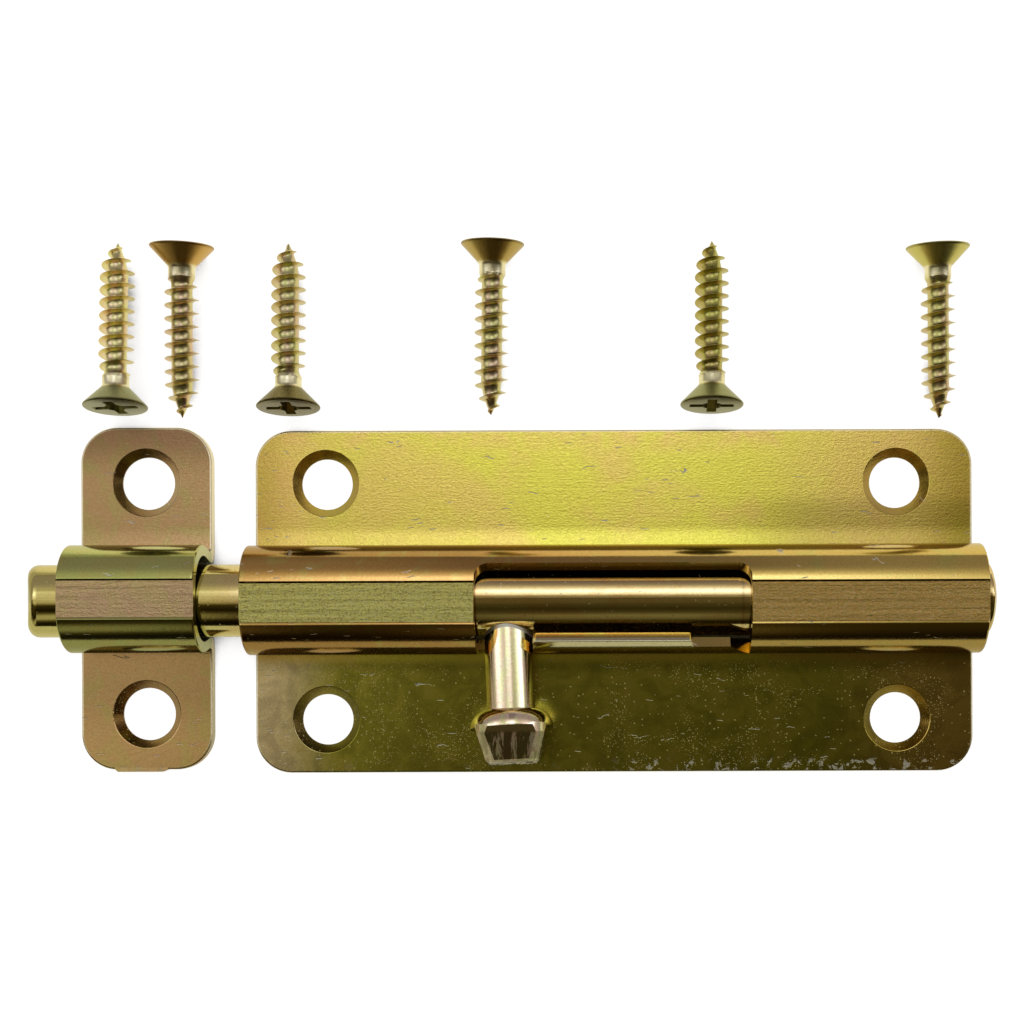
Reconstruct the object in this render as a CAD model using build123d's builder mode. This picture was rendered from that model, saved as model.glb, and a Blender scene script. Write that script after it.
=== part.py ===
from build123d import *
import math
import os

os.makedirs("parts", exist_ok=True)

# Barrel bolt set, lying on its back: housing, keeper, round bolt, handle stud and six wood screws.
# Millimetres. +Z is away from the door, +X runs along the bolt, and the bolt is thrown towards -X.
# The origin is the centre of the housing's four screw holes, on the back face.

# sheet and barrel section, shared by the housing and the keeper
sheet = 1.2
plate_w = 38.4            # across both flanges, along Y
corner_r = 4.0
barrel_w = 12.06          # across the barrel's upright walls, outside
flat_top = 9.45           # top of the barrel
shoulder_r = 4.85         # outside radius of the shoulders between the walls and the top
shoulder_z = flat_top - shoulder_r
shoulder_y = barrel_w / 2 - shoulder_r
keeper_barrel_w = 11.87
barrel_z = 4.0            # height from which the window's edges radiate
coin_z = 9.18             # floor of the shallow flat coined along the barrel's top
coin_y0, coin_y1 = -2.60, 1.58          # its edges on the housing: it sits off centre
keeper_coin_y0, keeper_coin_y1 = -1.95, 1.95
neck = 13.0               # the walls lean in below the shoulders, degrees
bend_r = 0.4              # concave bend where the wall runs out into the flange
edge_roll = 0.2           # rolled-over edge left by the punch
sink_roll = 0.12          # softened rim of each countersink and of the lip

# housing
plate_l = 80.45
plate_x0 = -39.92         # left end of the housing
hole_sx, hole_sy = 64.0, 26.5
hole_r, sink_r = 2.85, 3.75

# handle window, between radial edges either side of the barrel's top
win_x0, win_x1 = -14.75, 15.06
win_up = 51.5             # edge on the +Y side, degrees above the horizontal
lip_up = 40.3             # edge of the lip between the notches, -Y side
win_r = 1.6
lip_x0, lip_x1 = -8.55, 8.77
lip_end_r = 0.4
notch_floor = 1.88        # floor of the deep notch that locks the handle
ramp_up = 31.0            # floor of the shallow notch, degrees
ramp_end = 11.0           # where that floor runs out at the window's end
ramp_x = 12.88

# keeper
keeper_x = -52.15
keeper_y = 0.2            # middle of the keeper's loop
keeper_dy = 0.42          # middle of its strip and holes: the loop is pressed a little off centre
keeper_w = 14.7
keeper_sy = 26.0
keeper_hole_r, keeper_sink_r = 2.95, 3.8

# bolt
bolt_r = 4.0
bolt_z = 4.1
bolt_x0, bolt_x1 = -64.16, 42.19
bolt_nose = 8.0           # the thrown end is rolled over on top: radius, and its middle's height from the axis
bolt_nose_z = -0.85
bolt_round = 1.1          # rounding round the thrown end
bolt_dome = 10.0          # radius of the domed end
bolt_dome_round = 0.5     # rounding at the dome's rim

# handle stud: its axis leaves the bolt's axis, low over the flange on the -Y side
stud_x = -11.54
stud_lift = 7.5           # degrees above the plate
stud_lean = 2.5           # degrees towards +X
stud_r = 2.63
stud_gap = 0.03           # running gap between the stud's hollowed foot and the bolt
collar_from, collar_edge, knob_end = 12.32, 14.25, 18.05
collar_r0, collar_r1 = 3.10, 4.55
collar_mid = (12.86, 4.02)  # a point on the collar's rounded shoulder: distance along the stud, radius
head_half0, head_face0 = 3.90, 3.10
head_half1, head_face1 = 2.79, 1.80

# countersunk cross-recess wood screw
screw_l = 18.85
head_r, neck_r, crest_r, root_r = 3.5, 1.46, 1.88, 1.13
head_h, rim_h = 2.05, 0.22
pitch = 1.45
point_l = 2.6
screw_tilt = math.degrees(math.asin((head_r - crest_r) / (screw_l - head_h - point_l + 1.7)))


def polar(y0, z0, r, degrees, side):
    """A point on a circle about (y0, z0), at an angle above the horizontal, on the +Y or -Y side."""
    a = math.radians(degrees)
    return (y0 + side * r * math.cos(a), z0 + r * math.sin(a))


def on_wall(degrees, side, depth=0.0):
    """Where a ray from (0, barrel_z) at that angle meets the shoulder, that deep under its outside."""
    a = math.radians(degrees)
    c, t = math.cos(a), math.sin(a)
    dz = shoulder_z - barrel_z
    b = shoulder_y * c + dz * t
    r = b + math.sqrt(b**2 - shoulder_y**2 - dz**2 + (shoulder_r - depth) ** 2)
    return (side * r * c, barrel_z + r * t)


def wall_ends(width, depth=0.0):
    """Top and foot of one upright wall, (distance from the barrel's middle, height), and the centre of the bend below it."""
    t = math.radians(neck)
    r = shoulder_r - depth
    middle = width / 2 - shoulder_r
    rise = sheet + bend_r                     # height of the bend's centre
    top = (middle + r * math.cos(t), shoulder_z - r * math.sin(t))
    outer = (middle + shoulder_r * math.cos(t), shoulder_z - shoulder_r * math.sin(t))
    out_z = rise + bend_r * math.sin(t)
    centre = (outer[0] - (outer[1] - out_z) * math.tan(t) + bend_r * math.cos(t), rise)
    turn_r = bend_r + depth
    foot = (centre[0] - turn_r * math.cos(t), centre[1] + turn_r * math.sin(t))
    return top, foot, centre


def omega_section(barrel_y=0.0, strip_y=0.0, width=barrel_w):
    """Lines of the flange-barrel-flange section, drawn in a sketch whose x is Y and whose y is Z."""
    middle = width / 2 - shoulder_r
    half_turn = math.radians(90 - neck) / 2
    for s in (1, -1):
        side = s * plate_w / 2 + strip_y
        Line((side, 0), (side, sheet))
        for depth, low in ((0, sheet), (sheet, 0)):
            top, foot, centre = wall_ends(width, depth)
            turn_r, r = bend_r + depth, shoulder_r - depth
            flange_end = (barrel_y + s * centre[0], low)
            Line((side, low), flange_end)
            ThreePointArc(
                flange_end,
                (
                    barrel_y + s * (centre[0] - turn_r * math.sin(half_turn)),
                    centre[1] - turn_r * math.cos(half_turn),
                ),
                (barrel_y + s * foot[0], foot[1]),
            )
            Line((barrel_y + s * foot[0], foot[1]), (barrel_y + s * top[0], top[1]))
            ThreePointArc(
                (barrel_y + s * top[0], top[1]),
                (
                    barrel_y + s * (middle + r * math.cos(math.radians(40))),
                    shoulder_z + r * math.sin(math.radians(40)),
                ),
                (barrel_y + s * middle, shoulder_z + r),
            )
    for depth in (0, sheet):
        Line((barrel_y + middle, flat_top - depth), (barrel_y - middle, flat_top - depth))


def coin_section(y0, y1):
    """Outline of the coined flat: its floor, a steep edge on the +Y side and a shallow one on the -Y side."""
    Polyline(
        (y0, coin_z), (y1, coin_z), (y1 + 0.34, coin_z + 0.32), (y1 + 0.34, coin_z + 1),
        (y0 - 1.4, coin_z + 1), (y0 - 1.4, coin_z + 0.56), close=True,
    )


def near(edges, x=None, y=None, z=None, tol=0.05):
    """Edges whose middle lies at the given coordinates."""
    def fits(e):
        c = e.center(CenterOf.BOUNDING_BOX)
        return all(
            want is None or abs(got - want) < tol
            for want, got in ((x, c.X), (y, c.Y), (z, c.Z))
        )
    return edges.filter_by(fits)


def outer_outline(edges, x0, x1, barrel_y=0.0, strip_y=0.0, width=barrel_w):
    """The stamping's outline on its outer side: round both flanges and over the barrel's two ends."""
    top, foot, _ = wall_ends(width)
    wall_mid = (top[0] + foot[0]) / 2

    def fits(e):
        b = e.bounding_box()
        at_end = abs(b.max.X - x0) < 0.01 or abs(b.min.X - x1) < 0.01
        on_flange = b.min.Z > sheet - 0.01 and b.max.Z < sheet + 0.01 and (
            at_end
            or abs(abs(e.center().Y - strip_y) - plate_w / 2) < 0.01
            or (e.geom_type == GeomType.CIRCLE and abs(e.radius - corner_r) < 0.01)
        )
        if on_flange:
            return True
        if not at_end or b.max.Z < sheet + 0.01:
            return False
        # over the end: the bend, the upright wall, the round wall and the flat
        if e.geom_type == GeomType.CIRCLE:
            return abs(e.radius - bend_r) < 0.01 or abs(e.radius - shoulder_r) < 0.01
        upright = abs(abs(e.center().Y - barrel_y) - wall_mid) < 0.01 and b.max.Z < top[1] + 0.01
        return upright or b.min.Z > flat_top - 0.01
    return edges.filter_by(fits)


# housing: one stamping, two flanges and the raised barrel, with the handle window
with BuildPart() as housing_plate:
    with BuildSketch(Plane.YZ.offset(plate_x0)):
        with BuildLine():
            omega_section()
        make_face()
    extrude(amount=plate_l)
    outer_corners = housing_plate.edges().filter_by(Axis.Z).filter_by(
        lambda e: abs(abs(e.center().Y) - plate_w / 2) < 0.01
    )
    fillet(outer_corners, corner_r)

    # the window over the top of the barrel
    with BuildSketch(Plane.YZ.offset(win_x0)):
        with BuildLine():
            Polyline(
                (0, barrel_z),
                polar(0, barrel_z, 9, lip_up, -1),
                (-4, 14),
                (4, 14),
                polar(0, barrel_z, 9, win_up, 1),
                close=True,
            )
        make_face()
    extrude(amount=win_x1 - win_x0, mode=Mode.SUBTRACT)
    ym, zm = on_wall(win_up, 1, sheet / 2)
    window_corners = near(housing_plate.edges(), y=ym, z=zm, tol=0.2).filter_by(
        lambda e: abs(e.length - sheet) < 0.05
    )
    fillet(window_corners, win_r)

    # the deep notch: the handle lies in it while the bolt is thrown
    with BuildSketch(Plane.XY.offset(notch_floor)):
        with Locations(((win_x0 + lip_x0) / 2, -5.2)):
            Rectangle(lip_x0 - win_x0, 5.2)
    extrude(amount=6.5, mode=Mode.SUBTRACT)

    # the shallow notch: a level floor, then a ramp down to the window's end
    with BuildSketch(Plane.YZ.offset(lip_x1)):
        with BuildLine():
            Polyline(
                (0, barrel_z),
                polar(0, barrel_z, 8.5, ramp_up, -1),
                polar(0, barrel_z, 9, lip_up + 8, -1),
                close=True,
            )
        make_face()
    extrude(amount=win_x1 - lip_x1, mode=Mode.SUBTRACT)
    with BuildSketch(Plane.YZ.offset(ramp_x)):
        with BuildLine():
            Polyline(
                (0, barrel_z),
                polar(0, barrel_z, 8.5, ramp_up, -1),
                polar(0, barrel_z, 9, lip_up + 8, -1),
                close=True,
            )
        make_face()
    with BuildSketch(Plane.YZ.offset(win_x1)):
        with BuildLine():
            Polyline(
                (0, barrel_z),
                polar(0, barrel_z, 8.5, ramp_end, -1),
                polar(0, barrel_z, 9, lip_up + 8, -1),
                close=True,
            )
        make_face()
    loft(ruled=True, mode=Mode.SUBTRACT)

    # countersunk screw holes
    with Locations((0, 0, sheet)):
        with GridLocations(hole_sx, hole_sy, 2, 2):
            CounterSinkHole(radius=hole_r, counter_sink_radius=sink_r, depth=3)

    # the lip's ends are rounded off, and every outer edge is rolled over by the punch
    yl, zl = on_wall(lip_up, -1, sheet / 2)
    lip_ends = near(housing_plate.edges(), x=lip_x0, y=yl, z=zl) + near(
        housing_plate.edges(), x=lip_x1, y=yl, z=zl
    )
    fillet(lip_ends, lip_end_r)
    fillet(outer_outline(housing_plate.edges(), plate_x0, plate_x0 + plate_l), edge_roll)
    with BuildSketch(Plane.YZ.offset(plate_x0 - 1)):
        with BuildLine():
            coin_section(coin_y0, coin_y1)
        make_face()
    extrude(amount=plate_l + 2, mode=Mode.SUBTRACT)
    sink_rims = housing_plate.edges().filter_by(GeomType.CIRCLE).filter_by(
        lambda e: abs(e.radius - sink_r) < 0.01
    )
    fillet(sink_rims, sink_roll)
    lip_rim = housing_plate.edges().filter_by(
        lambda e: e.bounding_box().min.X > lip_x0 - 0.1
        and e.bounding_box().max.X < lip_x1 + 0.1
        and e.bounding_box().max.Z > 7.2
        and e.bounding_box().max.Y < -4
    )
    fillet(lip_rim, sink_roll * 0.8)
    window_left = near(housing_plate.edges(), x=win_x0, z=coin_z)
    window_right = near(housing_plate.edges(), x=win_x1, z=coin_z).filter_by(GeomType.LINE)
    fillet(window_left, sink_roll)
    fillet(window_right, sink_roll)
housing_plate.part.label = "housing_plate"
export_step(housing_plate.part, "parts/housing_plate.step")

# keeper: a narrow strip of the same section, with the punch's parting stub on its lower end
with BuildPart() as keeper:
    with BuildSketch(Plane.YZ.offset(keeper_x - keeper_w / 2)):
        with BuildLine():
            omega_section(keeper_y, keeper_dy, keeper_barrel_w)
        make_face()
    extrude(amount=keeper_w)
    keeper_corners = keeper.edges().filter_by(Axis.Z).filter_by(
        lambda e: abs(abs(e.center().Y - keeper_dy) - plate_w / 2) < 0.01
    )
    fillet(keeper_corners, corner_r)
    keeper_outline = outer_outline(
        keeper.edges(), keeper_x - keeper_w / 2, keeper_x + keeper_w / 2, keeper_y, keeper_dy,
        keeper_barrel_w,
    )
    fillet(keeper_outline, edge_roll)
    with BuildSketch(Plane.YZ.offset(keeper_x - keeper_w / 2 - 1)):
        with BuildLine():
            coin_section(keeper_coin_y0, keeper_coin_y1)
        make_face()
    extrude(amount=keeper_w + 2, mode=Mode.SUBTRACT)
    stub_y = keeper_dy - plate_w / 2
    with BuildSketch(Plane.XY):
        with BuildLine():
            Polyline(
                (keeper_x - 3.6, stub_y + 0.4),
                (keeper_x - 3.6, stub_y),
                (keeper_x - 3.3, stub_y - 0.26),
                (keeper_x + 1.7, stub_y - 0.26),
                (keeper_x + 2.3, stub_y),
                (keeper_x + 2.3, stub_y + 0.4),
                close=True,
            )
        make_face()
    extrude(amount=sheet)
    with Locations((keeper_x, keeper_dy, sheet)):
        with GridLocations(1, keeper_sy, 1, 2):
            CounterSinkHole(radius=keeper_hole_r, counter_sink_radius=keeper_sink_r, depth=3)
    keeper_rims = keeper.edges().filter_by(GeomType.CIRCLE).filter_by(
        lambda e: abs(e.radius - keeper_sink_r) < 0.01
    )
    fillet(keeper_rims, sink_roll)
keeper.part.label = "keeper"
export_step(keeper.part, "parts/keeper.step")

# the round bolt: its thrown end is rolled over on top, as a cropped bar is, and its other end is domed
with BuildPart() as bolt_rod:
    rim_x = bolt_x1 - (bolt_dome - math.sqrt(bolt_dome**2 - bolt_r**2))
    mid_x = bolt_x1 - (bolt_dome - math.sqrt(bolt_dome**2 - (bolt_r / 2) ** 2))
    with BuildSketch(Plane.XZ):
        with BuildLine():
            Polyline(
                (bolt_x1, bolt_z), (bolt_x0, bolt_z), (bolt_x0, bolt_z + bolt_r), (rim_x, bolt_z + bolt_r)
            )
            ThreePointArc(
                (rim_x, bolt_z + bolt_r), (mid_x, bolt_z + bolt_r / 2), (bolt_x1, bolt_z)
            )
        make_face()
    revolve(axis=Axis((0, 0, bolt_z), (1, 0, 0)))
    rims = bolt_rod.edges().filter_by(GeomType.CIRCLE).filter_by(
        lambda e: abs(e.radius - bolt_r) < 0.01
    ).sort_by(Axis.X)
    fillet(rims[-1], bolt_dome_round)
    with BuildSketch(Plane.XZ.offset(-6)):
        with Locations((bolt_x0 - 1, bolt_z)):
            Rectangle(8, 12)
        with Locations((bolt_x0 + bolt_nose, bolt_z + bolt_nose_z)):
            Circle(bolt_nose, mode=Mode.SUBTRACT)
    extrude(amount=12, mode=Mode.SUBTRACT)
    nose_rim = bolt_rod.edges().filter_by(
        lambda e: e.bounding_box().max.X < bolt_x0 + 3 and e.geom_type != GeomType.LINE
    )
    fillet(nose_rim, bolt_round)
bolt_rod.part.label = "bolt_rod"
export_step(bolt_rod.part, "parts/bolt_rod.step")

# handle stud: round stem, rounded collar and a tapered square grip with its corners taken off
lift, lean = math.radians(stud_lift), math.radians(stud_lean)
stud_dir = Vector(
    math.sin(lean), -math.cos(lean) * math.cos(lift), math.cos(lean) * math.sin(lift)
)
stud_face = Vector(0, math.sin(lift), math.cos(lift))   # the grip's front face looks this way
stud_plane = Plane(
    origin=(stud_x, 0, bolt_z), x_dir=stud_dir.cross(stud_face), z_dir=stud_dir
)
along_stud = Plane(origin=(stud_x, 0, bolt_z), x_dir=stud_dir, z_dir=stud_plane.x_dir)
stud_axis = Axis((stud_x, 0, bolt_z), (stud_dir.X, stud_dir.Y, stud_dir.Z))


def grip_outline(half, face):
    """Square of the given half width, its corners cut so that each face keeps its half length."""
    return [
        (face, half), (half, face), (half, -face), (face, -half),
        (-face, -half), (-half, -face), (-half, face), (-face, half),
    ]


with BuildPart() as handle_stud:
    with BuildSketch(stud_plane.offset(2.0)):
        Circle(stud_r)
    extrude(amount=collar_from - 2.0 + 0.2)
    with BuildSketch(along_stud):
        with BuildLine():
            Polyline((collar_edge, collar_r1), (collar_edge, 0), (collar_from, 0), (collar_from, collar_r0))
            ThreePointArc((collar_from, collar_r0), collar_mid, (collar_edge, collar_r1))
        make_face()
    revolve(axis=stud_axis)
    with BuildSketch(stud_plane.offset(collar_edge - 0.25)):
        Polygon(*grip_outline(head_half0, head_face0), align=None)
    with BuildSketch(stud_plane.offset(knob_end)):
        Polygon(*grip_outline(head_half1, head_face1), align=None)
    loft(ruled=True)
    # the grip's corners are turned down flush with the collar
    with BuildSketch(along_stud):
        with Locations((collar_edge + 0.6, collar_r1 + 1.5)):
            Rectangle(3.2, 3.0)
    revolve(axis=stud_axis, mode=Mode.SUBTRACT)
    end_face = handle_stud.faces().sort_by(Axis(stud_plane.origin, stud_dir))[-1]
    chamfer(end_face.edges(), 0.22)
    # the foot is hollowed to sit round the bolt
    with BuildSketch(Plane.YZ.offset(stud_x - 6)):
        with Locations((0, bolt_z)):
            Circle(bolt_r + stud_gap)
    extrude(amount=12, mode=Mode.SUBTRACT)
handle_stud.part.label = "handle_stud"
export_step(handle_stud.part, "parts/handle_stud.step")

# screw form: point at z = 0, head on top; ridges stand in for the helical thread
with BuildPart() as screw_form:
    with BuildSketch(Plane.XZ):
        with BuildLine():
            pts = [(0, 0), (0.16, 0.12)]
            z = 0.75
            thread_end = screw_l - rim_h - head_h - 1.15
            while z < thread_end - pitch * 0.3:
                root = min(root_r, 0.16 + (root_r - 0.16) * z / point_l)
                crest = min(crest_r, root + 0.34 + (crest_r - root_r - 0.34) * z / point_l)
                if z > thread_end - pitch:
                    crest = crest_r - 0.30
                pts += [(root, z - 0.24), (crest, z - 0.05), (crest, z + 0.05), (root, z + 0.24)]
                z += pitch
            pts += [
                (root_r, thread_end),
                (neck_r, thread_end + 0.15),
                (neck_r, screw_l - rim_h - head_h),
                (head_r, screw_l - rim_h),
                (head_r - 0.05, screw_l - 0.04),
                (head_r - 0.16, screw_l),
                (0, screw_l),
            ]
            Polyline(*pts, close=True)
        make_face()
    revolve(axis=Axis.Z)
    # cross recess: two tapered slots and a tapered well
    for turn in (0, 90):
        with BuildSketch(Plane.XY.offset(screw_l + 0.01).rotated((0, 0, turn))):
            Rectangle(4.95, 1.05)
        with BuildSketch(Plane.XY.offset(screw_l - 1.75).rotated((0, 0, turn))):
            Rectangle(1.3, 0.55)
        loft(ruled=True, mode=Mode.SUBTRACT)
    with BuildSketch(Plane.XY.offset(screw_l + 0.01)):
        Circle(1.15)
    with BuildSketch(Plane.XY.offset(screw_l - 2.1)):
        Circle(0.5)
    loft(mode=Mode.SUBTRACT)

# six loose screws beside the plates: x, y of the head's centre, head towards +Y (1) or -Y (-1), turn on the surface, roll
screw_places = [
    (-55.00, 21.44, -1, 0.70, 4),
    (-47.58, 39.36, 1, -1.57, 31),
    (-35.84, 21.33, -1, 0.88, -3),
    (-13.14, 39.57, 1, -1.19, 52),
    (11.11, 21.44, -1, -0.60, 2),
    (36.09, 39.03, 1, 1.50, 17),
]
for n, (hx, hy, way, turn, roll) in enumerate(screw_places, 1):
    t, g = math.radians(screw_tilt), math.radians(turn)
    towards_head = Vector(
        -way * math.cos(t) * math.sin(g), way * math.cos(t) * math.cos(g), math.sin(t)
    )
    side = Vector(math.cos(g), math.sin(g), 0)
    # the rim of the head and the last full crest both touch the surface
    head_z = head_r * math.cos(t) + (rim_h - 0.0) * math.sin(t)
    tip = Vector(hx, hy, head_z) - towards_head * screw_l
    seat = Plane(origin=tip, x_dir=side, z_dir=towards_head)
    with BuildPart() as screw:
        add((seat.location * Location((0, 0, 0), (0, 0, roll))) * screw_form.part)
    screw.part.label = f"screw_{n}"
    export_step(screw.part, f"parts/screw_{n}.step")
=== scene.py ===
import math
import random

import bpy
import bmesh
from mathutils import Matrix, Vector


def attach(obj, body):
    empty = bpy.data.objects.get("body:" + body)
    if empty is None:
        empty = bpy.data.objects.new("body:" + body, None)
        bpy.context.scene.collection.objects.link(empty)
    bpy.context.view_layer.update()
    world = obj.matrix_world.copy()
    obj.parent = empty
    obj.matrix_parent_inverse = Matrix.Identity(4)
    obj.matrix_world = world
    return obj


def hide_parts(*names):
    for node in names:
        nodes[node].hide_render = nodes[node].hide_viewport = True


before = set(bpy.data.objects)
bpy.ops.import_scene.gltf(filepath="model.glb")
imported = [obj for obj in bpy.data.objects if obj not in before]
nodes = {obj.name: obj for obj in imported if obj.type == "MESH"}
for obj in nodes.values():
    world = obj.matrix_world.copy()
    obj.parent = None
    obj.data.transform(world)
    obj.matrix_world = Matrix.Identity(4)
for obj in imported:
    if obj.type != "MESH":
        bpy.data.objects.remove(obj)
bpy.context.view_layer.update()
MM = 0.001

scene = bpy.context.scene
scene.view_settings.view_transform = "Standard"
scene.view_settings.look = "None"

# ---------------------------------------------------------------- camera
cam_data = bpy.data.cameras.new("camera")
cam = bpy.data.objects.new("camera", cam_data)
scene.collection.objects.link(cam)
cam.location = (-0.00074, -0.00779, 0.17126)
cam.rotation_euler = (0, 0, math.radians(-0.2))
cam_data.sensor_width = 36
cam_data.lens = 53.26
cam_data.shift_x = -0.0908
cam_data.shift_y = 0.1543
cam_data.clip_start = 0.005
cam_data.clip_end = 20
scene.camera = cam


# ---------------------------------------------------------------- node helper
class Graph:
    """Builds a node tree from short calls. Every value is a socket or a plain number."""

    def __init__(self, tree):
        self.t = tree
        tree.nodes.clear()

    def node(self, kind, **props):
        n = self.t.nodes.new(kind)
        for k, v in props.items():
            setattr(n, k, v)
        return n

    def put(self, socket, value):
        if isinstance(value, bpy.types.NodeSocket):
            self.t.links.new(value, socket)
        elif value is not None:
            socket.default_value = value

    def math(self, op, a, b=None, c=None, clamp=False):
        n = self.node("ShaderNodeMath", operation=op, use_clamp=clamp)
        for i, v in enumerate((a, b, c)):
            self.put(n.inputs[i], v)
        return n.outputs[0]

    def add(self, a, b):
        return self.math("ADD", a, b)

    def mul(self, a, b):
        return self.math("MULTIPLY", a, b)

    def smooth(self, x, lo, hi, out0=0.0, out1=1.0):
        n = self.node("ShaderNodeMapRange", interpolation_type="SMOOTHSTEP")
        for name, v in (("Value", x), ("From Min", lo), ("From Max", hi), ("To Min", out0), ("To Max", out1)):
            self.put(n.inputs[name], v)
        return n.outputs[0]

    def window(self, x, lo, hi, soft):
        """1 between lo and hi, fading over soft on both sides."""
        return self.mul(self.smooth(x, lo - soft, lo + soft), self.smooth(x, hi - soft, hi + soft, 1.0, 0.0))

    def mix(self, f, a, b, mode="MIX"):
        n = self.node("ShaderNodeMix", data_type="RGBA", blend_type=mode)
        self.put(n.inputs[0], f)
        for sock, v in ((n.inputs[6], a), (n.inputs[7], b)):
            self.put(sock, tuple(v) + (1.0,) if isinstance(v, (tuple, list)) and len(v) == 3 else v)
        return n.outputs[2]

    def mixf(self, f, a, b):
        n = self.node("ShaderNodeMix", data_type="FLOAT")
        for i, v in ((0, f), (2, a), (3, b)):
            self.put(n.inputs[i], v)
        return n.outputs[0]

    def xyz(self, v):
        n = self.node("ShaderNodeSeparateXYZ")
        self.put(n.inputs[0], v)
        return n.outputs[0], n.outputs[1], n.outputs[2]

    def vec(self, x, y, z):
        n = self.node("ShaderNodeCombineXYZ")
        for i, v in enumerate((x, y, z)):
            self.put(n.inputs[i], v)
        return n.outputs[0]

    def vmath(self, op, a, b=None, scale=None):
        n = self.node("ShaderNodeVectorMath", operation=op)
        self.put(n.inputs[0], a)
        if b is not None:
            self.put(n.inputs[1], b)
        if scale is not None:
            self.put(n.inputs["Scale"], scale)
        return n.outputs[0]

    def mm(self, offset=(0, 0, 0), stretch=(1, 1, 1)):
        """Object coordinates in millimetres, with an offset and a stretch."""
        t = self.node("ShaderNodeTexCoord")
        m = self.node("ShaderNodeMapping")
        self.put(m.inputs["Vector"], t.outputs["Object"])
        m.inputs["Scale"].default_value = [1000 * s for s in stretch]
        m.inputs["Location"].default_value = offset
        return m.outputs[0]

    def noise(self, v, scale, detail=2.0, rough=0.5, distort=0.0, out="Fac"):
        n = self.node("ShaderNodeTexNoise")
        self.put(n.inputs["Vector"], v)
        self.put(n.inputs["Scale"], scale)
        self.put(n.inputs["Detail"], detail)
        self.put(n.inputs["Roughness"], rough)
        self.put(n.inputs["Distortion"], distort)
        return n.outputs[0 if out == "Fac" else 1]

    def cells(self, v, scale):
        """Distance to the nearest of some scattered points, and a random number for that point."""
        n = self.node("ShaderNodeTexVoronoi", feature="F1")
        self.put(n.inputs["Vector"], v)
        self.put(n.inputs["Scale"], scale)
        return n.outputs["Distance"], self.xyz(n.outputs["Color"])[0]

    def ramp(self, f, stops, mode="LINEAR"):
        n = self.node("ShaderNodeValToRGB")
        r = n.color_ramp
        r.interpolation = mode
        while len(r.elements) > 1:
            r.elements.remove(r.elements[-1])
        for i, (p, c) in enumerate(stops):
            e = r.elements[0] if i == 0 else r.elements.new(p)
            e.position = p
            e.color = (c, c, c, 1) if isinstance(c, (int, float)) else tuple(c) + (1,)
        self.put(n.inputs[0], f)
        return n.outputs[0]

    def bump(self, height, distance, strength=1.0, normal=None):
        n = self.node("ShaderNodeBump")
        self.put(n.inputs["Height"], height)
        self.put(n.inputs["Distance"], distance)
        self.put(n.inputs["Strength"], strength)
        if normal is not None:
            self.put(n.inputs["Normal"], normal)
        return n.outputs[0]


def material(name):
    m = bpy.data.materials.new(name)
    m.use_nodes = True
    return m, Graph(m.node_tree)


def metal(g, colour, rough, normal, metallic=1.0):
    p = g.node("ShaderNodeBsdfPrincipled")
    g.put(p.inputs["Base Color"], colour)
    g.put(p.inputs["Metallic"], metallic)
    g.put(p.inputs["Roughness"], rough)
    if normal is not None:
        g.put(p.inputs["Normal"], normal)
    o = g.node("ShaderNodeOutputMaterial")
    g.put(o.inputs["Surface"], p.outputs[0])
    return p


# ---------------------------------------------------------------- studio
# Light by direction: a bright strip above and behind, a soft panel on the left, dark in front.
world = bpy.data.worlds.new("studio")
scene.world = world
world.use_nodes = True
g = Graph(world.node_tree)
tc = g.node("ShaderNodeTexCoord")
dx, dy, dz = g.xyz(tc.outputs["Generated"])
alpha = g.math("MULTIPLY_ADD", g.math("ARCTAN2", dy, dz), 1 / (2 * math.pi), 0.5)
beta = g.math("MULTIPLY_ADD", g.math("ARCSINE", dx), 1 / math.pi, 0.5)


def over_alpha(stops):
    return g.xyz(g.ramp(alpha, [(a / 360 + 0.5, v) for a, v in stops]))[0]


def over_beta(stops):
    return g.xyz(g.ramp(beta, [(b / 180 + 0.5, v) for b, v in stops]))[0]


# the bright strip behind, fading to both sides
strip = over_alpha([
    (-180, 0.0), (-30, 0.0), (-24, 0.022), (-18, 0.036), (-8, 0.085), (2, 0.12), (7, 0.18), (10, 0.34), (13, 0.90),
    (16, 1.20), (20, 1.55), (24, 2.0), (28, 1.95), (31, 1.25), (34, 0.85), (38, 0.50), (44, 0.14), (50, 0.03),
    (56, 0.0), (180, 0.0),
])
strip_x = over_beta([
    (-90, 0.15), (-72, 0.3), (-60, 0.9), (-46, 1.0), (-36, 0.7), (-28, 0.5), (-20, 0.38), (-15, 0.40), (-12.6, 0.66),
    (-10, 0.86), (-8, 0.98), (-4, 1.02), (5, 1.04), (8, 0.92), (10, 0.76), (13, 0.50), (20, 0.42), (30, 0.5), (38, 0.75),
    (50, 1.0), (64, 1.0), (74, 0.3), (90, 0.15),
])
# the room behind it, even from side to side
room = over_alpha([
    (-180, 0.10), (-96, 0.10), (-89, 0.02), (-82, 0.006), (-60, 0.008), (-48, 0.02), (-42, 0.035), (-33, 0.028),
    (-27, 0.022), (-18, 0.008), (-6, 0.0), (30, 0.0), (36, 0.24), (42, 0.34), (50, 0.33), (60, 0.30), (84, 0.29),
    (92, 0.22), (120, 0.12), (180, 0.10),
])
# a dim patch low in front, only in the middle
low_patch = over_alpha([
    (-180, 0.0), (-80, 0.0), (-74, 0.02), (-70, 0.05), (-65, 0.10), (-54, 0.13), (-47, 0.05), (-42, 0.01), (-36, 0.0), (180, 0.0),
])
low_patch_x = over_beta([(-90, 0.0), (-8, 0.0), (-4, 0.8), (-2, 1.0), (4, 1.0), (6, 0.4), (9, 0.1), (90, 0.1)])
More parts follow.
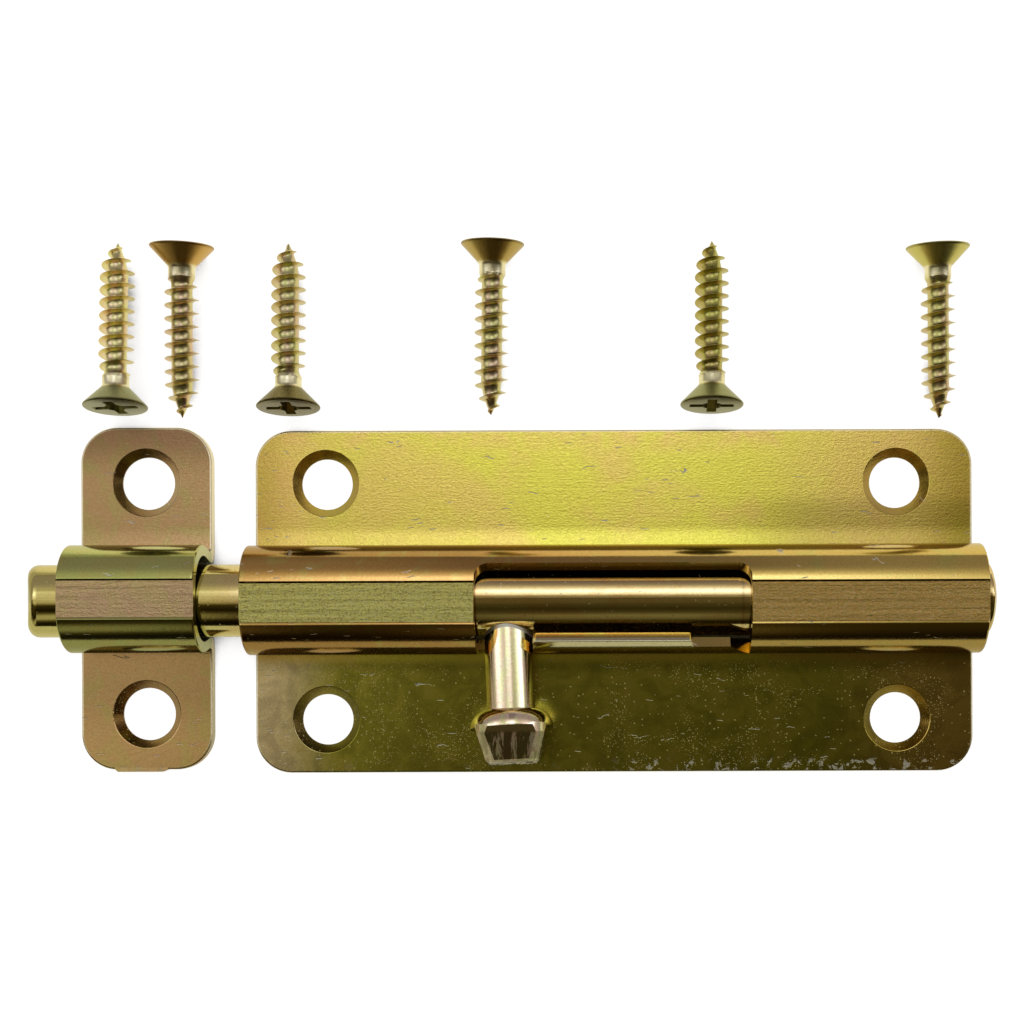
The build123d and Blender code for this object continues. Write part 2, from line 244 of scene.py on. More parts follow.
# the panel on the left: its upper part, and a lower band that drops towards the front as it goes left
left = over_alpha([
    (-180, 0.0), (-30, 0.0), (-24, 0.004), (-18, 0.004), (-14, 0.05), (-12, 0.14), (-9, 0.36), (-6, 0.50), (6, 0.58),
    (12, 0.42), (18, 0.13), (24, 0.03), (30, 0.0), (180, 0.0),
])
skew = g.add(alpha, g.mul(g.smooth(beta, 0.5 - 45 / 180, 0.5 - 15 / 180, 1.0, 0.0), 30 / 360))
low_left = g.xyz(g.ramp(skew, [(a / 360 + 0.5, v) for a, v in [
    (-180, 0.0), (-76, 0.004), (-70, 0.02), (-65, 0.07), (-62, 0.18), (-58, 0.28), (-52, 0.31), (-46, 0.24), (-42, 0.11),
    (-38, 0.035), (-34, 0.004), (-28, 0.0), (180, 0.0),
]]))[0]
left_x = over_beta([(-90, 0.2), (-70, 0.35), (-50, 0.9), (-15, 1.0), (-12.6, 0.75), (-10, 0.30), (-7.5, 0.10), (-4, 0.0), (90, 0.0)])
low_left_x = over_beta([(-90, 0.2), (-70, 0.35), (-50, 0.9), (-17, 1.0), (-13.5, 0.12), (-11, 0.0), (90, 0.0)])
level = g.add(g.mul(strip, strip_x), g.add(g.mul(left, left_x), g.mul(low_left, low_left_x)))
room_x = over_beta([(-90, 1.0), (-9, 1.0), (-4, 0.62), (5, 0.62), (9, 1.0), (90, 1.0)])
room_low_x = over_beta([(-90, 1.0), (-50, 1.0), (-26, 0.3), (-13, 0.3), (-9.5, 1.0), (90, 1.0)])
room_x = g.mixf(g.smooth(alpha, 0.49, 0.51), room_low_x, room_x)
level = g.add(level, g.add(g.mul(room, room_x), g.mul(low_patch, low_patch_x)))
# what is dim in the studio is also browner, except the room behind
blue = g.math("POWER", level, 1.40)
blue = g.add(blue, g.mul(room, g.smooth(alpha, 0.5 + 30 / 360, 0.5 + 55 / 360, 0.0, 0.30)))
light = g.vec(level, g.math("POWER", level, 1.08), blue)
lp = g.node("ShaderNodeLightPath")
bg_light = g.node("ShaderNodeBackground")
g.put(bg_light.inputs["Color"], light)
bg_seen = g.node("ShaderNodeBackground")
g.put(bg_seen.inputs["Color"], (0.93, 0.93, 0.93, 1))
ms = g.node("ShaderNodeMixShader")
g.put(ms.inputs[0], lp.outputs["Is Camera Ray"])
g.put(ms.inputs[1], bg_light.outputs[0])
g.put(ms.inputs[2], bg_seen.outputs[0])
wo = g.node("ShaderNodeOutputWorld")
g.put(wo.inputs["Surface"], ms.outputs[0])

# floor: white to the eye, with painted shade from occlusion fading its glow to black deep under the barrel; what
# reflections see of it is a painted light, dimmer towards the front and the far left end
bpy.ops.mesh.primitive_plane_add(size=6.0, location=(0, 0, -0.00003))
floor = bpy.context.object
floor.name = "floor"
m, g = material("floor_white")
ao = g.node("ShaderNodeAmbientOcclusion", samples=12)
g.put(ao.inputs["Distance"], 0.012)
# painted shade: the floor's glow is dimmed where occlusion hides it
open_sky = g.smooth(ao.outputs["AO"], 0.10, 0.42)
fx, fy, _ = g.xyz(g.mm())
# painted light for reflections: brighter towards the back and the right
reflected_floor_light = g.mul(g.smooth(fy, -19.0, 19.0), g.smooth(fx, -80.0, -62.0))
e1 = g.node("ShaderNodeEmission")
g.put(e1.inputs["Color"], g.mix(reflected_floor_light, (0.42, 0.40, 0.30), (0.95, 0.90, 0.72)))
g.put(e1.inputs["Strength"], open_sky)
e2 = g.node("ShaderNodeEmission")
g.put(e2.inputs["Color"], (0.97, 0.97, 0.97, 1))
g.put(e2.inputs["Strength"], open_sky)
d1 = g.node("ShaderNodeBsdfDiffuse")
g.put(d1.inputs["Color"], (0.25, 0.25, 0.25, 1))
sa = g.node("ShaderNodeAddShader")
g.put(sa.inputs[0], d1.outputs[0])
g.put(sa.inputs[1], e2.outputs[0])
lp = g.node("ShaderNodeLightPath")
ms = g.node("ShaderNodeMixShader")
g.put(ms.inputs[0], lp.outputs["Is Camera Ray"])
g.put(ms.inputs[1], e1.outputs[0])
g.put(ms.inputs[2], sa.outputs[0])
o = g.node("ShaderNodeOutputMaterial")
g.put(o.inputs["Surface"], ms.outputs[0])
floor.data.materials.append(m)


# ---------------------------------------------------------------- plated finishes
YELLOW = (0.66, 0.61, 0.085)
PINK = (0.72, 0.47, 0.15)
# the yellow in painted shade, for the lower flange
YELLOW_IN_SHADE = (0.46, 0.43, 0.060)
BROWN = (0.64, 0.38, 0.13)
ZINC = (0.60, 0.575, 0.53)


def strokes(g, p, angle, length, width, share, seed, bend=0.35):
    """Short scattered scratches along one direction: long thin cells, of which only a small share are kept."""
    x, y, z = g.xyz(p)
    flat = g.vec(g.add(x, seed * 17.0), g.add(g.add(y, g.mul(z, 0.8)), seed * 9.0), 0.0)
    wob = g.noise(flat, 0.55, 2.0, 0.5, 0.0, "Color")
    flat = g.vmath("ADD", flat, g.vmath("SCALE", wob, scale=bend * length))
    m = g.node("ShaderNodeMapping")
    g.put(m.inputs["Vector"], flat)
    m.inputs["Rotation"].default_value = (0, 0, math.radians(angle))
    m.inputs["Scale"].default_value = (1 / (2.4 * length), 1 / (2.4 * width), 1.0)
    dist, rnd = g.cells(m.outputs[0], 1.0)
    return g.mul(g.smooth(dist, 0.13, 0.22, 1.0, 0.0), g.math("LESS_THAN", rnd, share))


def most(g, *values):
    out = values[0]
    for v in values[1:]:
        out = g.math("MAXIMUM", out, v)
    return out


def specks(g, p, scale, size, share):
    dist, rnd = g.cells(p, scale)
    return g.mul(g.smooth(dist, size * 0.6, size, 1.0, 0.0), g.math("LESS_THAN", rnd, share))


def plated_sheet(name, keeper=False):
    m, g = material(name)
    p = g.mm()
    x, y, z = g.xyz(p)
    ay = g.math("ABSOLUTE", y)
    y0, y1 = (-1.97, 1.97) if keeper else (-2.62, 1.60)
    crown = g.mul(g.window(z, 9.165, 9.195, 0.004), g.window(y, y0, y1, 0.02))
    flange = g.smooth(z, 1.25, 1.55, 1.0, 0.0)
    upper = g.smooth(y, -1.0, 1.0)
    low = g.mul(flange, g.smooth(y, -7.5, -6.0, 1.0, 0.0))
    barrel = g.add(1.0, g.mul(flange, -1.0))

    # distance inside the outline, and to the nearest screw hole
    cx, cy, hl, hw = (-52.15, 0.42, 7.35, 19.2) if keeper else (0.305, 0.0, 40.225, 19.2)
    qx = g.add(g.math("ABSOLUTE", g.add(x, -cx)), 4.0 - hl)
    qy = g.add(g.math("ABSOLUTE", g.add(y, -cy)), 4.0 - hw)
    px, py = g.math("MAXIMUM", qx, 0.0), g.math("MAXIMUM", qy, 0.0)
    away = g.math("SQRT", g.add(g.mul(px, px), g.mul(py, py)))
    away = g.add(g.add(away, g.math("MINIMUM", g.math("MAXIMUM", qx, qy), 0.0)), -4.0)
    # painted highlight: a light line along the rolled rim of the outline, faint along the lower edge
    rim_highlight = g.mul(g.mul(flange, g.smooth(away, -0.30, -0.12)), g.smooth(y, -18.0, -16.0, 0.12, 1.0))
    if keeper:
        ox, oy = g.add(x, 52.15), g.add(g.math("ABSOLUTE", g.add(y, -0.42)), -13.0)
    else:
        ox, oy = g.add(g.math("ABSOLUTE", x), -32.0), g.add(ay, -13.25)
    hole = g.math("SQRT", g.add(g.mul(ox, ox), g.mul(oy, oy)))
    # painted shade in the countersinks, heavier on one side of each
    sink_shade = g.mul(g.smooth(hole, 3.85, 3.95, 1.0, 0.0), g.smooth(z, 1.12, 1.19, 1.0, 0.0))
    sink_shade = g.mul(sink_shade, g.smooth(ox, -3.2, 3.2, 1.0, 0.55))

    # colour of the passivation, with painted light and shade mixed in below
    big = g.noise(p, 0.075, 2.0, 0.5, 0.6)
    mid = g.noise(p, 0.30, 3.0, 0.6, 0.8)
    fine = g.noise(p, 4.5, 3.0, 0.7)
    sand = g.noise(g.mm(stretch=(0.7, 1.2, 1.0)), 3.4, 3.0, 0.8)
    if keeper:
        col = g.mix(g.smooth(mid, 0.40, 0.70), (0.66, 0.42, 0.20), (0.60, 0.46, 0.18))
        # painted shade and light: the keeper darkens towards its upper edge and is lighter towards its lower edge
        keeper_shade_by_height = g.mul(g.smooth(y, 13.0, 19.0, 1.0, 0.60), g.smooth(y, 4.0, 8.0, 1.0, 0.74))
        keeper_shade_by_height = g.mul(keeper_shade_by_height, g.smooth(y, -17.0, -9.5, 1.38, 1.0))
        col = g.mix(1.0, col, g.vec(keeper_shade_by_height, g.mul(keeper_shade_by_height, g.smooth(y, 15.0, 19.0, 1.0, 0.88)), keeper_shade_by_height), "MULTIPLY")
        flank = g.mix(g.smooth(mid, 0.42, 0.62), (0.56, 0.54, 0.19), (0.53, 0.57, 0.20))
        col = g.mix(barrel, col, flank)
        coin = g.mix(g.smooth(mid, 0.42, 0.62), (1.0, 0.68, 0.40), (0.98, 0.74, 0.36))
        col = g.mix(crown, col, g.mix(g.smooth(sand, 0.42, 0.62, 0.0, 0.6), coin, (0.98, 0.80, 0.42)))
    else:
        clouds = g.smooth(g.add(big, g.mul(0.25, mid)), 0.56, 0.80, 0.0, 0.5)
        rim = g.mul(g.smooth(y, 15.5, 18.6), g.smooth(mid, 0.25, 0.75, 0.3, 0.9))
        ends = most(g, g.smooth(x, -39.0, -26.0, 1.0, 0.0), g.mul(0.8, g.smooth(x, 12.0, 32.0)), g.mul(rim, 0.8))
        col = g.mix(most(g, clouds, g.mul(ends, g.smooth(mid, 0.15, 0.75, 0.5, 1.0))), YELLOW, PINK)
        # painted shade: darker towards both ends of the housing
        painted_shade = g.mul(g.smooth(x, 33.0, 40.0, 1.0, 0.66), g.smooth(x, -39.5, -35.0, 0.80, 1.0))
        col = g.mix(1.0, col, g.vec(painted_shade, g.mul(painted_shade, 0.97), g.mul(painted_shade, painted_shade)), "MULTIPLY")
        # painted shade on the right part of the flanges, except the outer band of the upper flange
        right_low_shade = g.mul(g.mul(g.smooth(x, 10.0, 22.0), g.smooth(y, 10.0, 12.5, 1.0, 0.0)), flange)
        painted_shade = g.add(1.0, g.mul(right_low_shade, -0.26))
        col = g.mix(1.0, col, g.vec(painted_shade, painted_shade, painted_shade), "MULTIPLY")
        # lower flange: the yellow in painted shade, pinker towards the right end, lighter towards the left end, and
        # darker still towards the barrel
        low_flange_shaded = g.mix(g.smooth(x, 24.0, 37.0, 0.0, 0.85), YELLOW_IN_SHADE, (0.78, 0.52, 0.14))
        low_flange_shaded = g.mix(g.smooth(x, -38.5, -30.0, 1.0, 0.0), low_flange_shaded, (0.92, 0.74, 0.44))
        low_flange_shaded = g.mix(g.smooth(mid, 0.52, 0.72, 0.0, 0.5), low_flange_shaded, (0.52, 0.40, 0.10))
        low_flange_shaded = g.mix(1.0, low_flange_shaded, g.mix(g.smooth(mid, 0.35, 0.62), (0.80, 0.80, 0.80), (1.12, 1.12, 1.12)), "MULTIPLY")
        shade = g.smooth(y, -8.6, -7.0, 1.0, 0.72)
        low_flange_shaded = g.mix(1.0, low_flange_shaded, g.vec(shade, shade, shade), "MULTIPLY")
        col = g.mix(low, col, low_flange_shaded)
        flank = g.mix(g.smooth(x, -14.0, 14.0), BROWN, (0.72, 0.52, 0.17))
        flank = g.mix(g.smooth(mid, 0.50, 0.72, 0.0, 0.7), flank, (0.62, 0.56, 0.18))
        # painted shade on the upper flank, left of the window
        flank_shade = g.mixf(g.smooth(x, -16.0, -12.0), g.smooth(y, 3.7, 4.8, 1.0, 0.70), 1.0)
        flank = g.mix(1.0, flank, g.vec(flank_shade, flank_shade, g.mul(flank_shade, 0.9)), "MULTIPLY")
        col = g.mix(g.mul(barrel, g.add(1.0, g.mul(crown, -1.0))), col, flank)
        coin = g.mix(g.smooth(x, -14.0, 16.0), (0.98, 0.93, 0.28), (0.80, 0.52, 0.15))
        coin = g.mix(g.smooth(sand, 0.46, 0.64, 0.0, 0.6), coin, g.mix(g.smooth(x, -14.0, 16.0), (1.0, 0.97, 0.48), (0.94, 0.70, 0.36)))
        coin = g.mix(g.smooth(fine, 0.38, 0.50, 0.75, 0.0), coin, (0.50, 0.40, 0.10))
        col = g.mix(crown, col, coin)
        # painted highlight on the top of the lip
        lip_highlight = g.mul(g.mul(g.window(x, -8.7, 8.9, 0.05), g.smooth(y, -4.2, -4.4)), g.smooth(z, 6.8, 7.0))
        col = g.mix(lip_highlight, col, (1.0, 0.94, 0.58))
    # painted shade in the countersinks
    col = g.mix(g.mul(sink_shade, 0.8), col, g.mix(1.0, col, (0.42, 0.36, 0.22), "MULTIPLY"))

    # wear: scratches, specks, chips along the lower edge; last, a painted highlight along the rim
    worn = g.smooth(g.noise(p, 0.16, 2.0, 0.6, 0.4), 0.44, 0.62, 0.15, 1.0)
    left_worn = g.smooth(x, -38.5, -30.0, 1.0, 0.0) if not keeper else 0.0
    hair = most(
        g,
        strokes(g, p, 35, 1.3, 0.10, 0.030, 1, 0.9), strokes(g, p, -28, 2.6, 0.11, 0.030, 2, 0.8),
        strokes(g, p, 80, 1.0, 0.10, 0.024, 3, 0.9), strokes(g, p, 130, 0.9, 0.09, 0.024, 4, 0.9),
        g.mul(left_worn, most(g, strokes(g, p, 55, 0.6, 0.10, 0.12, 7, 0.9), strokes(g, p, 10, 0.7, 0.09, 0.12, 8, 0.9))),
    )
    round_wear = g.mul(g.mul(barrel, g.smooth(g.noise(p, 0.22, 2.0, 0.6), 0.50, 0.62)), most(
        g, strokes(g, p, 15, 1.0, 0.10, 0.12, 15, 0.9), strokes(g, p, -35, 0.9, 0.10, 0.12, 16, 0.9)))
    hair = most(g, hair, round_wear)
    hair = g.mul(hair, g.mixf(crown, 1.0, 0.3))
    dots = g.mul(g.mixf(low, 0.12, 1.0), most(g, specks(g, p, 2.1, 0.24, 0.34), g.mul(worn, specks(g, p, 4.4, 0.34, 0.62))))
    dots = g.mul(dots, g.add(1.0, g.mul(crown, -1.0)))
    fuzz = g.mul(g.mul(low, worn), most(
        g, strokes(g, p, 20, 0.6, 0.09, 0.08, 5, 0.8), strokes(g, p, 105, 0.5, 0.09, 0.08, 6, 0.8),
        strokes(g, p, 60, 0.4, 0.08, 0.09, 9, 0.9),
    ))
    edge_y = -18.9 if keeper else -18.2
    chip_n = g.noise(p, 0.9, 4.0, 0.7, 0.5)
    chips = g.mul(g.mul(flange, g.smooth(y, edge_y, edge_y + 0.9, 1.0, 0.0)), g.smooth(chip_n, 0.55, 0.60))
    chips = g.mul(chips, g.mixf(g.smooth(x, -2.0, 4.0), 0.4 if keeper else 0.15, 1.0))
    col = g.mix(g.mul(0.5, g.smooth(fine, 0.38, 0.70)), col, g.mix(1.0, col, (0.80, 0.76, 0.66), "MULTIPLY"))
    col = g.mix(g.mul(dots, 0.7), col, (0.84, 0.72, 0.32))
    col = g.mix(g.mul(fuzz, 0.6), col, (0.80, 0.72, 0.42))
    col = g.mix(g.mul(hair, 0.75), col, ZINC)
    col = g.mix(g.mul(chips, 0.85), col, (0.70, 0.68, 0.58))
    # painted highlight along the rim
    col = g.mix(rim_highlight, col, (0.92, 0.82, 0.56))

    rough = g.mixf(crown, g.mixf(flange, 0.14, 0.21), 0.46)
    rough = g.add(rough, g.mul(0.10, g.add(fine, -0.5)))
    rough = most(g, rough, g.mul(hair, 0.50), g.mul(dots, 0.50), g.mul(fuzz, 0.44), g.mul(chips, 0.60), g.mul(rim_highlight, 0.34))

    # relief
    h1 = g.noise(p, 2.4, 3.0, 0.65)
    streak = g.noise(g.mm(stretch=(0.12, 2.4, 2.4)), 1.5, 3.0, 0.6)
    n1 = g.bump(g.add(g.mul(h1, 0.8), g.mul(streak, 0.2)), 0.000009, 0.6)
    n1 = g.bump(g.mul(g.add(sand, g.mul(streak, 0.2)), g.mul(flange, upper)), 0.000021, 0.9, n1)
    grain = g.noise(g.mm(stretch=(0.8, 1.15, 1.0)), 4.2, 3.0, 0.75)
    band = g.noise(g.mm(stretch=(0.03, 1.3, 1.0)), 1.0, 2.0, 0.6)
    n2 = g.bump(g.mul(g.add(grain, g.mul(band, 1.2)), crown), 0.00017, 1.0, n1)
    n3 = g.bump(g.mul(-1.0, most(g, hair, chips)), 0.000012, 0.6, n2)
    # pressed sheet dishes a little either side of the barrel, and the coined flat has a burr along its edge
    foot = g.mul(g.smooth(ay, 6.9, 8.6, 1.0, 0.0), 0.085)
    tilt = g.mul(flange, g.mixf(upper, -0.03, g.add(0.070, foot)))
    tilt = g.add(tilt, g.mul(rim_highlight, g.mixf(upper, 0.15, 0.085)))
    b0 = y0 - 0.16
    burr = g.mul(g.mul(barrel, g.smooth(z, 8.9, 9.0)), g.window(y, b0 - 0.10, b0 + 0.14, 0.05))
    tilt = g.add(tilt, g.mul(burr, 0.34 if keeper else 0.44))
    n4 = g.vmath("NORMALIZE", g.vmath("ADD", n3, g.vec(0.0, tilt, 0.0)))
    metal(g, col, rough, n4, g.add(1.0, g.mul(rim_highlight, -0.2)))
    return m


def plated_rod():
    m, g = material("plated_rod")
    p = g.mm()
    x, y, z = g.xyz(p)
    mid = g.noise(g.mm(stretch=(0.35, 1.0, 1.0)), 0.5, 3.0, 0.6, 1.0)
    fine = g.noise(p, 6.0, 2.0, 0.6)
    col = g.mix(g.smooth(mid, 0.45, 0.66), (0.82, 0.63, 0.30), (0.78, 0.54, 0.24))
    col = g.mix(g.smooth(x, -45.0, -38.0, 0.8, 0.0), col, (0.74, 0.66, 0.24))
    col = g.mix(g.mul(0.4, g.smooth(fine, 0.42, 0.75)), col, (0.52, 0.36, 0.12))
    # painted shade on the rod's upper side inside the housing's window, and painted light on its lower side along its
    # length
    rod_shade_and_light = g.mul(g.window(x, -14.8, 14.2, 0.3), g.smooth(y, 1.6, 2.4, 1.0, 0.45))
    rod_shade_and_light = g.mixf(g.window(x, -14.8, 14.2, 0.3), 1.0, rod_shade_and_light)
    rod_shade_and_light = g.mul(rod_shade_and_light, g.smooth(y, -0.8, 0.2, 1.45, 1.0))
    col = g.mix(1.0, col, g.vec(rod_shade_and_light, rod_shade_and_light, rod_shade_and_light), "MULTIPLY")
    hair = most(
        g, strokes(g, p, 15, 1.2, 0.05, 0.012, 11), strokes(g, p, 60, 0.7, 0.05, 0.012, 12),
        strokes(g, p, -50, 0.9, 0.05, 0.012, 13),
    )
    dots = specks(g, p, 2.0, 0.26, 0.22)
    col = g.mix(g.mul(most(g, hair, g.mul(dots, 0.6)), 0.6), col, (0.80, 0.72, 0.50))
    rough = g.add(0.09, g.mul(0.07, g.add(fine, -0.4)))
    rough = most(g, rough, g.mul(hair, 0.42), g.mul(dots, 0.36))
    n1 = g.bump(g.noise(p, 2.2, 3.0, 0.6), 0.000005, 0.5)
    n2 = g.bump(g.mul(-1.0, hair), 0.000008, 0.5, n1)
    metal(g, col, rough, n2)
    return m


def plated_stud():
    m, g = material("plated_stud")
    p = g.mm()
    x, y, z = g.xyz(p)
    fine = g.noise(p, 6.0, 2.0, 0.6)
    tone = g.noise(g.mm(stretch=(2.0, 0.12, 2.0)), 0.8, 2.0, 0.5)
    blot = g.noise(p, 0.55, 3.0, 0.6, 0.8)
    col = g.mix(g.smooth(tone, 0.42, 0.58), (0.98, 0.76, 0.58), (0.90, 0.88, 0.50))
    col = g.mix(g.smooth(blot, 0.50, 0.64, 0.0, 0.6), col, (0.86, 0.80, 0.58))
    # the upset ring where the foot meets the bolt
    far = g.math("SQRT", g.add(g.math("POWER", y, 2.0), g.math("POWER", g.add(z, -4.1), 2.0)))
    ring = g.smooth(far, 4.25, 4.45, 1.0, 0.0)
    hair = most(g, strokes(g, p, 80, 0.8, 0.05, 0.05, 21), strokes(g, p, 30, 0.6, 0.05, 0.04, 22))
    col = g.mix(g.mul(0.35, g.smooth(fine, 0.42, 0.75)), col, (0.55, 0.42, 0.20))
    col = g.mix(most(g, g.mul(hair, 0.6), g.mul(ring, 0.8)), col, ZINC)
    # the grip's flat face is streaked, part polished and part dull
    grip = g.smooth(y, -14.6, -14.0, 1.0, 0.0)
    smear = g.smooth(g.noise(g.mm(stretch=(1.5, 0.28, 1.0)), 0.9, 3.0, 0.6, 0.8), 0.46, 0.60)
    col = g.mix(g.mul(grip, g.smooth(smear, 0.0, 1.0, 0.62, 0.0)), col, (0.20, 0.16, 0.08))
    rough = g.add(0.13, g.mul(0.08, g.add(fine, -0.4)))
    rough = most(g, rough, g.mul(hair, 0.42), g.mul(ring, 0.5), g.mul(g.mul(grip, smear), 0.36))
    n1 = g.bump(g.noise(p, 2.0, 3.0, 0.6), 0.000008, 0.6)
    metal(g, col, rough, n1)
    return m


def plated_screw(name, core, cone, seed, place, lean):
    m, g = material(name)
    # millimetres along and across the screw itself
    tc = g.node("ShaderNodeTexCoord")
    mp = g.node("ShaderNodeMapping", vector_type="TEXTURE")
    g.put(mp.inputs["Vector"], tc.outputs["Object"])
    mp.inputs["Location"].default_value = place.to_translation()
    mp.inputs["Rotation"].default_value = place.to_euler()
    mp.inputs["Scale"].default_value = (MM, MM, MM)
    p = mp.outputs[0]
    x, y, z = g.xyz(p)
    q = g.vmath("ADD", p, (seed * 13.0, seed * 7.0, seed * 5.0))
    around = g.math("ARCTAN2", y, x)
    streak = g.noise(g.vec(g.mul(around, 1.6), g.mul(z, 0.10), seed * 3.0), 1.6, 2.0, 0.5)
    tone = g.noise(q, 0.5, 3.0, 0.6, 1.0)
    fine = g.noise(q, 5.0, 3.0, 0.7)
    # the shank colour carries painted light and shade set for each screw
    col = g.mix(g.smooth(streak, 0.40, 0.60), core, (core[0] * 1.05, core[1] * 0.86, core[2] * 1.25))
    col = g.mix(g.smooth(tone, 0.45, 0.65, 0.0, 0.6), col, (core[0] * 0.95, core[1] * 1.08, core[2] * 0.8))
    # painted highlight: the neck is left light and cream while the rest is darkened
    neck_highlight = g.window(z, 15.3, 16.6, 0.2)
    col = g.mix(1.0, col, g.mix(neck_highlight, (0.84, 0.84, 0.84), (1.0, 1.0, 1.0)), "MULTIPLY")
    col = g.mix(neck_highlight, col, g.mix(0.8, col, (1.0, 0.94, 0.66)))
    # the head colour carries painted light and shade set for each screw
    col = g.mix(g.smooth(z, 16.6, 16.9), col, cone)
    # painted shade on the head's end face
    face_shade = g.smooth(z, 18.45, 18.65, 1.0, 0.66)
    col = g.mix(1.0, col, g.vec(face_shade, face_shade, face_shade), "MULTIPLY")
    radius = g.math("SQRT", g.add(g.math("POWER", x, 2.0), g.math("POWER", y, 2.0)))
    ridge = g.mul(g.smooth(radius, 1.25, 1.75), g.smooth(z, 15.6, 15.9, 1.0, 0.0))
    col = g.mix(g.mul(ridge, 0.55), col, (core[0] * 0.72, core[1] * 0.60, core[2] * 0.5))
    col = g.mix(g.mul(0.4, g.smooth(fine, 0.42, 0.75)), col, (core[0] * 0.7, core[1] * 0.68, core[2] * 0.55))
    rough = g.add(0.30, g.mul(0.14, g.add(fine, -0.4)))
    n1 = g.bump(g.noise(q, 2.4, 3.0, 0.7), 0.00002, 0.7)
    if lean:
        n1 = g.vmath("NORMALIZE", g.vmath("ADD", n1, g.vec(0.0, lean, 0.0)))
    metal(g, col, rough, n1)
    return m


# ---------------------------------------------------------------- screws with a real helix
SCREW_L, HEAD_R, NECK_R, CREST_R, ROOT_R = 18.85, 3.5, 1.44, 1.90, 1.12
HEAD_H, RIM_H, PITCH, NECK_Z = 2.05, 0.22, 1.455, 15.55
TILT = math.asin((HEAD_R - 1.88) / (SCREW_L - HEAD_H - 2.6 + 1.7))


def ease(t):
    t = min(1.0, max(0.0, t))
    return t * t * (3 - 2 * t)


def core_radius(z):
    r = ROOT_R * (1 - max(0.0, 1 - z / 3.8) ** 1.6) + 0.03
    return r + (NECK_R - ROOT_R) * ease((z - 14.7) / 0.8)


def crest_radius(z):
    pts = ((0, 0.0), (0.35, 0.35), (1.0, 0.95), (1.9, 1.42), (2.6, 1.72), (3.4, 1.85), (4.0, CREST_R), (13.6, CREST_R),
           (14.5, 1.72), (15.2, 1.5), (15.5, 1.3), (30, 1.0))
    for (a, ra), (b, rb) in zip(pts, pts[1:]):
        if z <= b:
            return ra + (rb - ra) * (z - a) / (b - a)
    return 1.0


# across one turn: how far along the pitch, and how far out of the core (0) to the crest (1)
RIDGE = ((-0.5, 0), (-0.26, 0.0), (-0.16, 0.10), (-0.10, 0.32), (-0.045, 0.70), (-0.012, 1.0), (0.012, 1.0),
         (0.045, 0.70), (0.10, 0.32), (0.16, 0.10), (0.26, 0.0))


